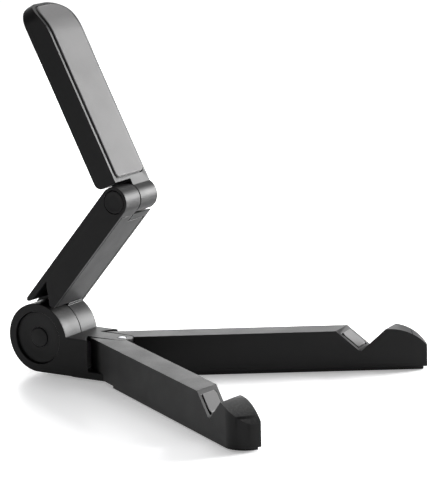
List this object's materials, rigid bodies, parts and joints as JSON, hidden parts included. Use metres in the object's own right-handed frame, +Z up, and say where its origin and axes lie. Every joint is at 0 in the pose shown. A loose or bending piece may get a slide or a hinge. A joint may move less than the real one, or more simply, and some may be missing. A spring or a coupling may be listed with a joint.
{
  "type": "folding phone stand",
  "caption": "Folding desk stand with a round hub, two swivelling legs with V notches and a jointed back rest with a soft pad; it folds to a slim bar.",
  "frame": {"origin": "on the desk, under the axis of the upright pin that both legs swivel on", "axes": "+Z up; the hub and both arm hinges turn about X; the closed legs point along -Y and the hub is on the +Y side"},
  "size_m": [0.1606, 0.1724, 0.1686],
  "materials": {
    "shell": "black moulded plastic with a fine spark-eroded grain and a soft sheen",
    "cap": "black moulded plastic, flatter grain than the shells",
    "pad": "dark grey soft rubber with a very fine grain",
    "rubber": "black rubber",
    "steel": "bright zinc-plated steel",
    "fibre": "dark grey friction fibre"
  },
  "bodies": {
    "base": {"base_body": "shell", "base_sole": "rubber", "leg_pin": "steel", "hub_cap_left": "cap", "hub_plug_left": "cap", "hub_disc_base": "fibre", "hub_bolt": "steel", "hub_nut": "steel", "hub_spring": "steel"},
    "left_leg": {"leg_left_shell": "shell", "leg_left_cover": "cap", "leg_left_foot": "rubber", "leg_left_notch_pad": "pad"},
    "right_leg": {"leg_right_shell": "shell", "leg_right_cover": "cap", "leg_right_foot": "rubber", "leg_right_notch_pad": "pad"},
    "lower_arm": {"lower_arm_body": "shell", "lower_arm_cover": "shell", "hub_cap_right": "cap", "hub_plug_right": "cap", "hub_disc_arm": "fibre", "hinge_pin": "steel", "hinge_plug_left": "cap", "hinge_washer": "fibre"},
    "upper_arm": {"upper_arm_body": "shell", "upper_arm_pad_plate": "cap", "upper_arm_pad": "pad", "hinge_plug_right": "cap"}
  },
  "joints": [
    {"name": "left_leg_swivel", "type": "hinge", "parent": "base", "child": "left_leg", "pos_m": [0, 0, 0.0105], "axis": [0, 0, -1], "range_deg": [-30.7, 4.3]},
    {"name": "right_leg_swivel", "type": "hinge", "parent": "base", "child": "right_leg", "pos_m": [0, 0, 0.0105], "axis": [0, 0, 1], "range_deg": [-33.7, 1.3]},
    {"name": "lower_arm_pivot", "type": "hinge", "parent": "base", "child": "lower_arm", "pos_m": [0, 0.0385, 0.0171], "axis": [-1, 0, 0], "range_deg": [-49.5, 45.5]},
    {"name": "upper_arm_pivot", "type": "hinge", "parent": "lower_arm", "child": "upper_arm", "pos_m": [0, -0.00647, 0.08377], "axis": [-1, 0, 0], "range_deg": [-67.5, 22.5]}
  ]
}
